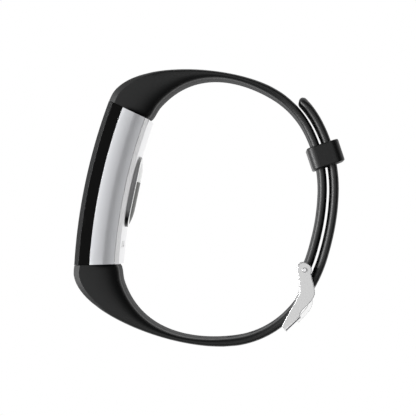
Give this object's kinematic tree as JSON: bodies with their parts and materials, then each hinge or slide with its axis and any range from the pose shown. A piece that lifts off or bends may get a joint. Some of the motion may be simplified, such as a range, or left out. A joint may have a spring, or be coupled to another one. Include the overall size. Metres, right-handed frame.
{
  "type": "fitness tracker band",
  "caption": "Fitness tracker band, buckled shut: curved silver case with black glass, optical sensor on its back, and a two-piece black silicone strap with tang buckle and keeper.",
  "frame": {"origin": "middle of the closed band's bounding box, on the surface that it lies on", "axes": "+Z along the wrist's axis, up from the surface; the display faces -X; +Y runs up the case from the lower strap to the upper strap"},
  "size_m": [0.0664, 0.0715, 0.0198],
  "materials": {
    "cover_glass": "gloss, curved cover glass, black behind",
    "black_frame": "gloss",
    "black_gasket": "matt",
    "display": "gloss",
    "flex": "satin",
    "inner_plastic": "matt",
    "board": "satin",
    "tinned_steel": "satin",
    "chip_black": "matt",
    "cell": "satin",
    "wire": "gloss",
    "gold": "gloss",
    "case_silver": "fine bead blasted and anodised silver",
    "housing_grey": "satin",
    "window_dark": "gloss",
    "cap_light": "satin, translucent",
    "led": "gloss",
    "photo": "gloss",
    "screw_steel": "satin",
    "strap_black": "satin moulded silicone",
    "bar_steel": "turned",
    "buckle_steel": "satin faces with polished bevels",
    "tang_steel": "polished",
    "keeper_black": "satin moulded silicone"
  },
  "bodies": {
    "case": {"front_glass": "cover_glass", "front_frame": "black_frame", "glass_gasket": "black_gasket", "display_panel": "display", "display_flex": "flex", "mid_frame": "inner_plastic", "main_board": "board", "shield_can": "tinned_steel", "chipset": "chip_black", "battery": "cell", "battery_lead": "wire", "motor_can": "tinned_steel", "antenna": "gold", "case_shell": "case_silver", "back_cover": "case_silver", "back_gasket": "black_gasket", "charging_contacts": "gold", "sensor_housing": "housing_grey", "sensor_window": "window_dark", "light_cap": "cap_light", "sensor_board": "board", "sensor_leds": "led", "photodiode": "photo", "strap_screws": "screw_steel", "upper_insert": "inner_plastic", "lower_insert": "inner_plastic", "upper_strap": "strap_black", "lower_strap": "strap_black", "spring_bar_tube": "bar_steel", "bar_spring": "bar_steel"},
    "bar_tip_front": {"spring_bar_tip_front": "bar_steel"},
    "bar_tip_rear": {"spring_bar_tip_rear": "bar_steel"},
    "buckle": {"buckle_frame": "buckle_steel"},
    "tang_body": {"tang": "tang_steel"},
    "keeper_loop": {"keeper": "keeper_black"},
    "motor_weight": {"motor_rotor": "tinned_steel"}
  },
  "joints": [
    {"name": "buckle_swing", "type": "hinge", "parent": "case", "child": "buckle", "pos_m": [0.02761, -0.01052, 0.0099], "axis": [0, 0, 1], "range_deg": [0, 6]},
    {"name": "tang_swing", "type": "hinge", "parent": "buckle", "child": "tang_body", "pos_m": [0.02761, -0.01052, 0.0099], "axis": [0, 0, 1], "range_deg": [0, 4]},
    {"name": "keeper_slide", "type": "hinge", "parent": "case", "child": "keeper_loop", "pos_m": [-0.00529, 0.00426, 0.0099], "axis": [0, 0, 1], "range_deg": [-10, 7]},
    {"name": "bar_tip_front_press", "type": "slide", "parent": "case", "child": "bar_tip_front", "axis": [0, 0, -1], "range_m": [0, 0.0013], "stiffness_N_per_m": 400, "deforming": ["bar_spring"]},
    {"name": "bar_tip_rear_press", "type": "slide", "parent": "case", "child": "bar_tip_rear", "axis": [0, 0, 1], "range_m": [0, 0.0013], "stiffness_N_per_m": 400, "deforming": ["bar_spring"]},
    {"name": "motor_spin", "type": "hinge", "parent": "case", "child": "motor_weight", "pos_m": [-0.02534, -0.0114, 0.0099], "axis": [0, 0, 1], "continuous": true}
  ]
}
